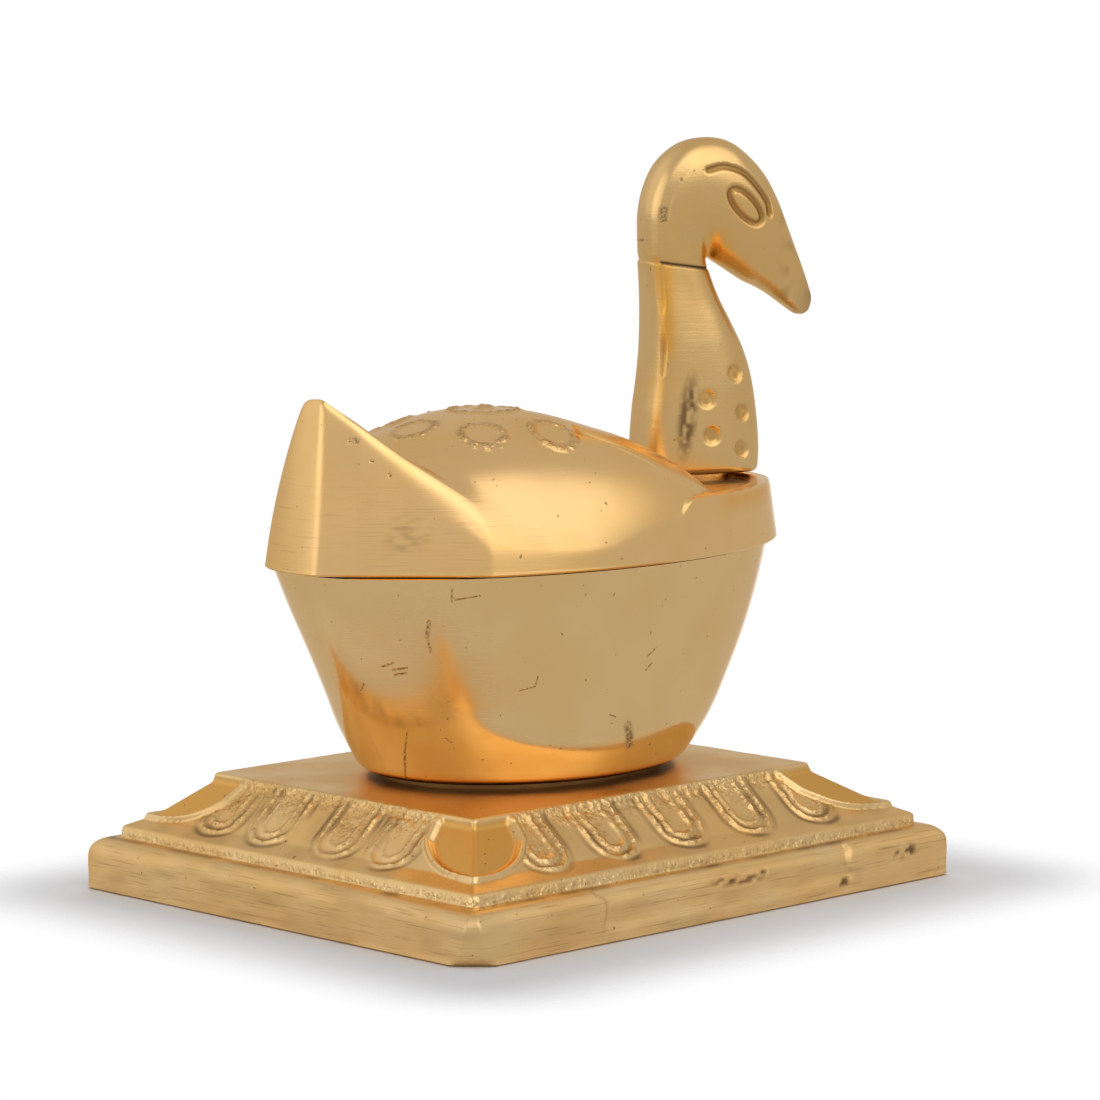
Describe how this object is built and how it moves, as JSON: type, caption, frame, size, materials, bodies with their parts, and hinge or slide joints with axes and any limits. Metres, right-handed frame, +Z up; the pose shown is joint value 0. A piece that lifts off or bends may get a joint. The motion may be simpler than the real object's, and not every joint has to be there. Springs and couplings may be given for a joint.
{
  "type": "kumkum box",
  "caption": "Cast brass kumkum box shaped as a swan on a stepped lotus plinth. The back is a lid that swings level about a stud under the turning neck.",
  "frame": {"origin": "middle of the plinth's underside, which stands on the table", "axes": "+X is the way the swan's body faces, +Y is its left side, +Z is up"},
  "size_m": [0.0838, 0.067, 0.0887],
  "materials": {
    "cast_brass": "sand cast, filed and buffed to a soft satin, with dull hollows",
    "turned_brass": "turned, satin"
  },
  "bodies": {
    "base": {"plinth": "cast_brass", "bowl": "cast_brass", "pivot_stud": "turned_brass", "foot_stud": "turned_brass", "foot_washer": "turned_brass", "foot_nut": "turned_brass"},
    "lid": {"lid": "cast_brass", "neck_washer": "turned_brass"},
    "neck": {"neck": "cast_brass", "head": "cast_brass", "head_dowel": "turned_brass"}
  },
  "joints": [
    {"name": "lid_swing", "type": "hinge", "parent": "base", "child": "lid", "pos_m": [0.0295, 0, 0.04], "axis": [0, 0, 1], "continuous": true},
    {"name": "neck_turn", "type": "hinge", "parent": "base", "child": "neck", "pos_m": [0.0295, 0, 0.0474], "axis": [0, 0, 1], "continuous": true}
  ]
}
